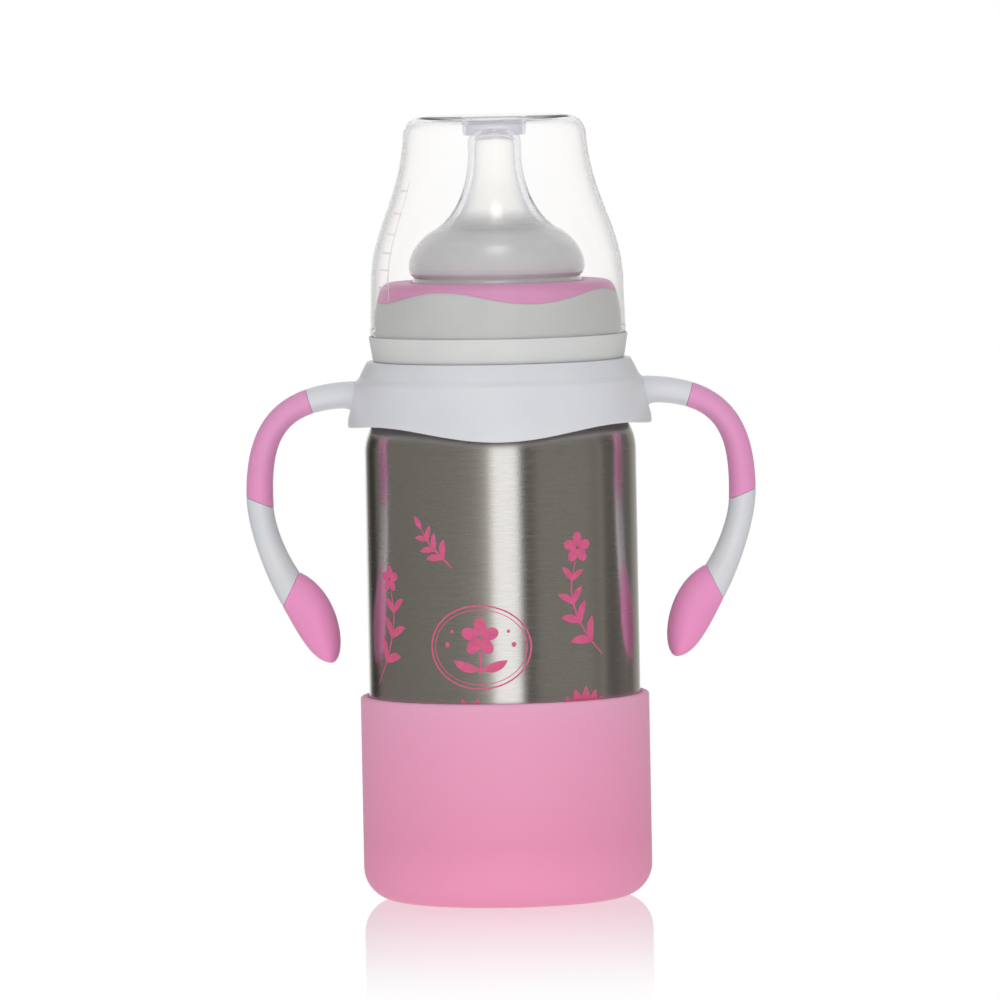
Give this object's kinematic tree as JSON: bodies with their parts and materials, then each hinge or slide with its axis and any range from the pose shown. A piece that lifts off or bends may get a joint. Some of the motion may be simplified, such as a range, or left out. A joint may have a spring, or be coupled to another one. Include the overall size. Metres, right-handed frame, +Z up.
{
  "type": "baby bottle",
  "caption": "Double-walled steel baby bottle with a silicone boot, a swivelling collar with open handles, a screw ring, a soft teat and a clear hood.",
  "frame": {"origin": "centre of the boot's underside, on the surface that the bottle stands on", "axes": "+Z up along the bottle's axis, +X towards the right handle, -Y towards the printed front"},
  "size_m": [0.1238, 0.074, 0.1903],
  "materials": {
    "boot_silicone": "matte",
    "steel_brushed": "brushed",
    "steel_inner": "electropolished",
    "getter_metal": "sintered",
    "seal_glass": "fused",
    "collar_plastic": "satin",
    "grip_rubber": "soft touch",
    "ring_plastic": "satin",
    "band_plastic": "satin",
    "teat_silicone": "translucent",
    "hood_clear": "clear"
  },
  "bodies": {
    "boot": {"silicone_boot": "boot_silicone"},
    "bottle": {"outer_shell": "steel_brushed", "inner_flask": "steel_inner", "vacuum_base": "steel_inner", "base_cover": "steel_brushed", "getter": "getter_metal", "vacuum_seal": "seal_glass"},
    "collar": {"handle_collar": "collar_plastic", "left_handle": "collar_plastic", "right_handle": "collar_plastic", "left_upper_grip": "grip_rubber", "right_upper_grip": "grip_rubber", "left_tip_grip": "grip_rubber", "right_tip_grip": "grip_rubber"},
    "teat": {"teat": "teat_silicone"},
    "ring": {"screw_ring": "ring_plastic", "ring_band": "band_plastic"},
    "hood": {"hood": "hood_clear"}
  },
  "joints": [
    {"name": "bottle_lift", "type": "slide", "parent": "boot", "child": "bottle", "axis": [0, 0, 1], "range_m": [0, 0.055]},
    {"name": "collar_swivel", "type": "hinge", "parent": "bottle", "child": "collar", "pos_m": [0, 0, 0.12], "axis": [0, 0, 1], "continuous": true},
    {"name": "teat_rise", "type": "slide", "parent": "bottle", "child": "teat", "axis": [0, 0, 1], "range_m": [0, 0.0101]},
    {"name": "ring_screw", "type": "hinge", "parent": "teat", "child": "ring", "pos_m": [0, 0, 0.14], "axis": [0, 0, 1], "range_deg": [0, 600]},
    {"name": "hood_lift", "type": "slide", "parent": "ring", "child": "hood", "axis": [0, 0, 1], "range_m": [0, 0.06]}
  ],
  "couplings": [
    {"joint": "teat_rise", "follows": "ring_screw", "m_per_rad": 0.00095493}
  ]
}
